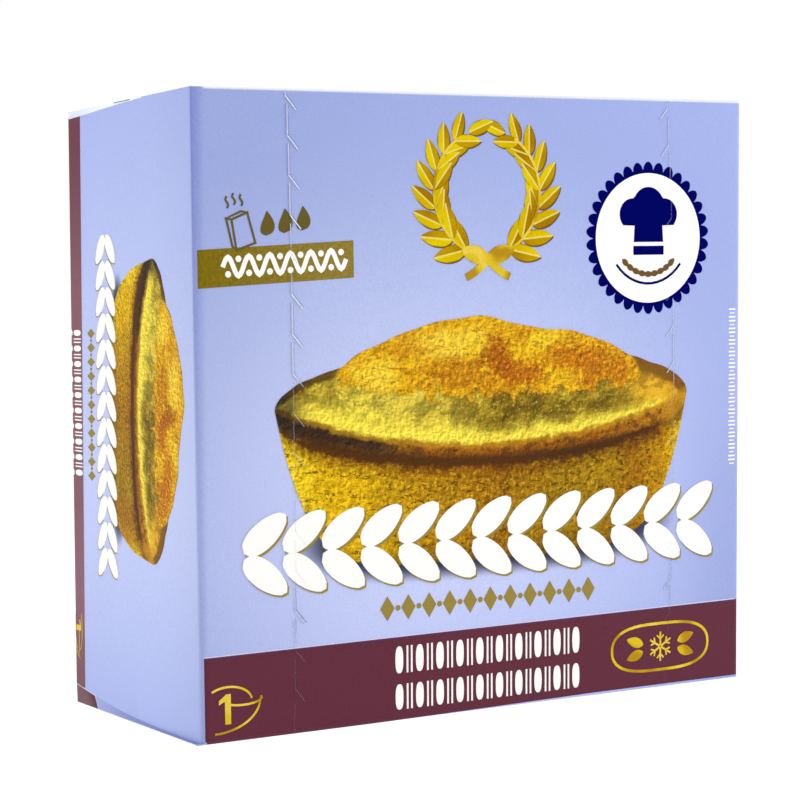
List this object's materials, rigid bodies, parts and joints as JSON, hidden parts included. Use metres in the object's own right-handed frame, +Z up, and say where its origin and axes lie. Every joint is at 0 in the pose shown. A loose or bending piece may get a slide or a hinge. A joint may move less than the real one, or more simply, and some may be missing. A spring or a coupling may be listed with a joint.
{
  "type": "pastry carton",
  "caption": "Shut upright paperboard carton for one baked pastry, with outer flaps folded over from the front and hooked tear strips down the front panel.",
  "frame": {"origin": "middle of the footprint, on the surface that the carton stands on", "axes": "+Z up, the front panel faces -Y, +X to the right as seen from the front"},
  "size_m": [0.126, 0.057, 0.12],
  "materials": {
    "printed_board": "satin printed paperboard"
  },
  "bodies": {
    "root": {"carton": "printed_board"}
  },
  "joints": []
}
